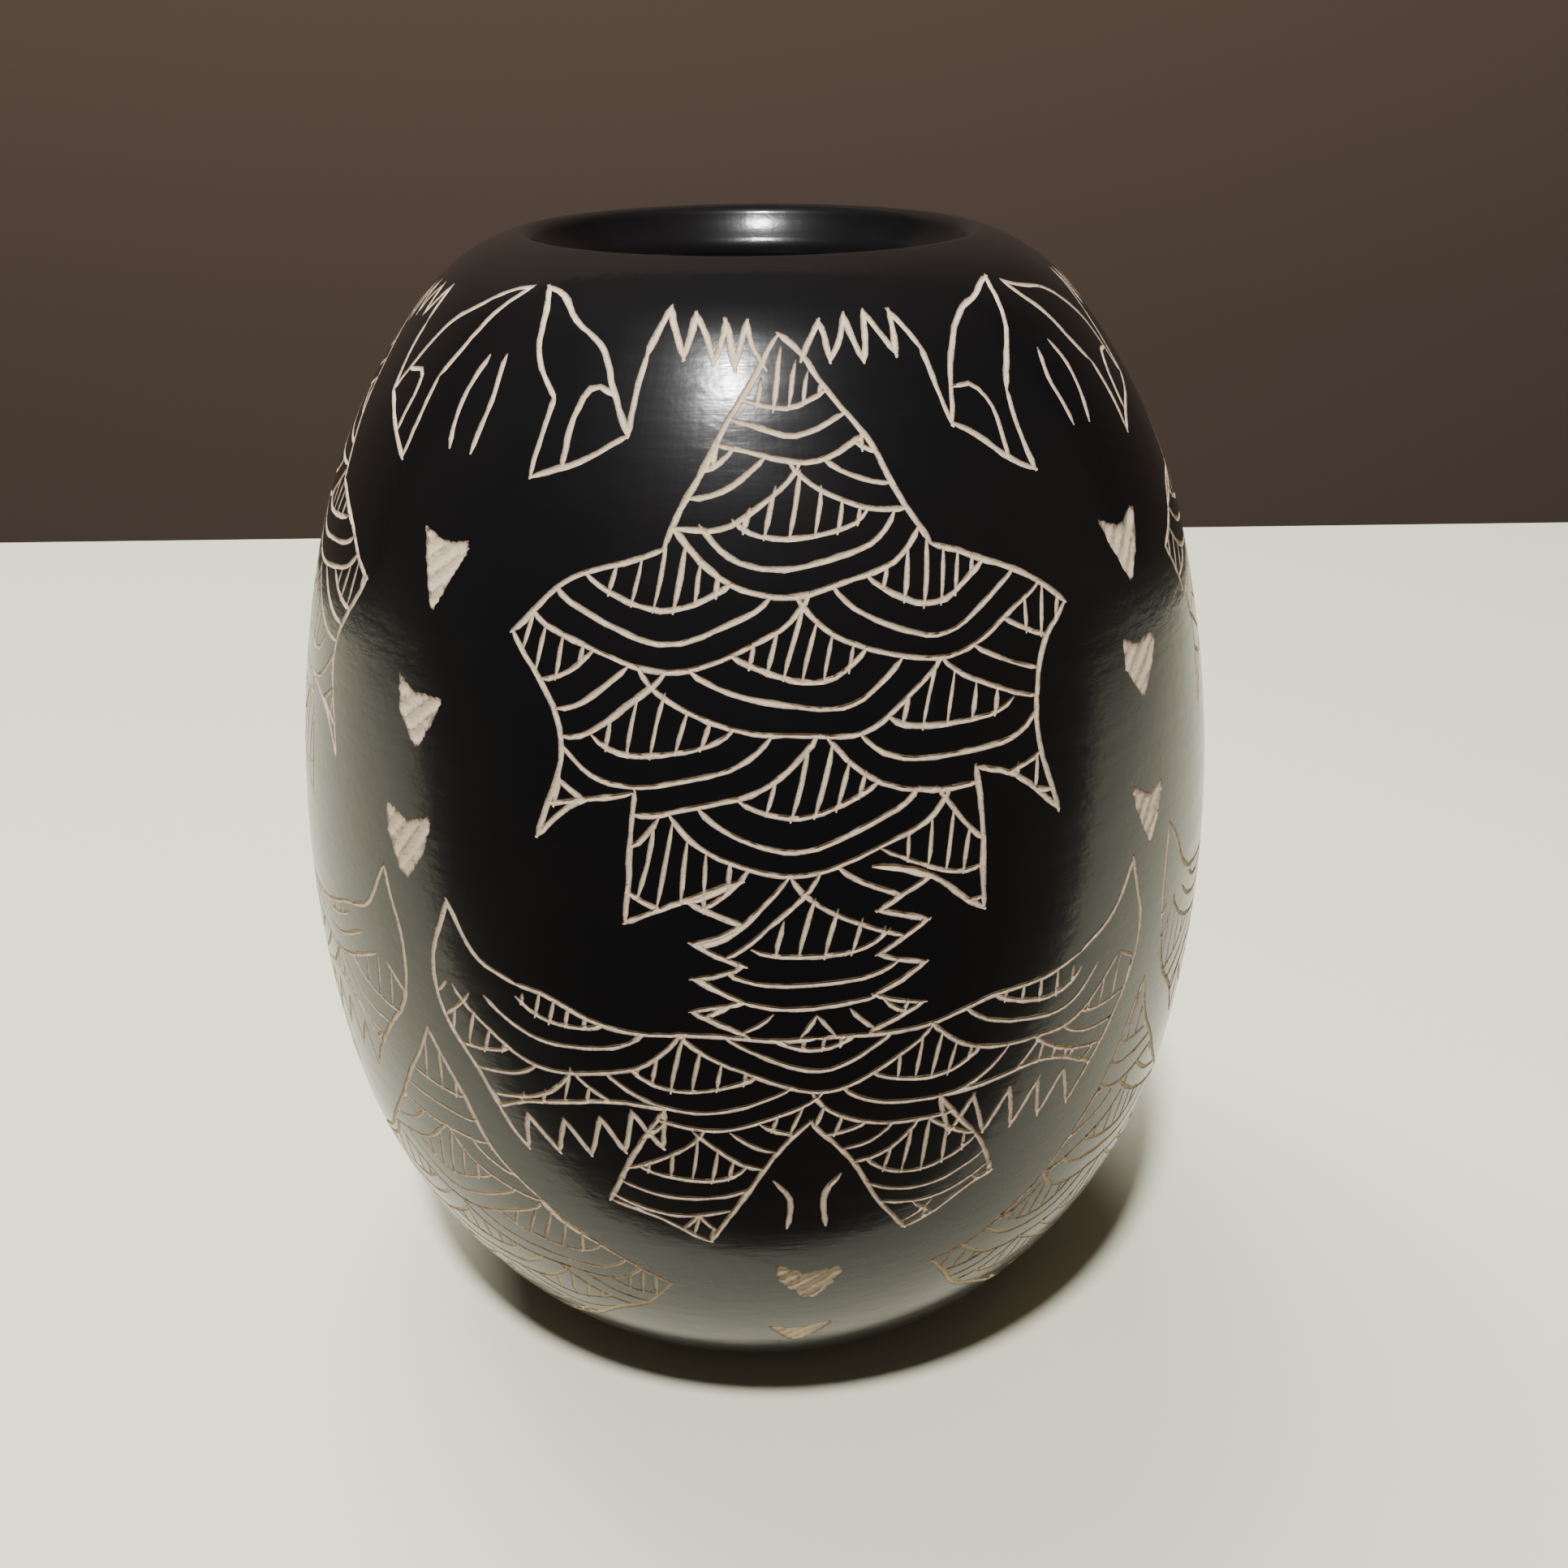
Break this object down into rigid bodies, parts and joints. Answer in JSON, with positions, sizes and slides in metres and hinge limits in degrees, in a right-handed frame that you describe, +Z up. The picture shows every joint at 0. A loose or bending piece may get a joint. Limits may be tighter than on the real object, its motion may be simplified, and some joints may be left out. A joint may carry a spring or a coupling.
{
  "type": "clay jar",
  "caption": "Round-bellied hand-built clay jar with a narrow open mouth, a dark polished skin and a flat foot.",
  "frame": {"origin": "centre of the flat foot, on the surface that the jar stands on", "axes": "+Z up along the jar's axis; -Y faces the viewer of the middle decorated panel"},
  "size_m": [0.1264, 0.1264, 0.1512],
  "materials": {
    "fired_clay": "matte, fine-grained, smoke-darkened inside",
    "black_slip": "burnished to a soft gloss, with scratched lines that show pale clay"
  },
  "bodies": {
    "root": {"clay_body": "fired_clay", "burnished_skin": "black_slip"}
  },
  "joints": []
}
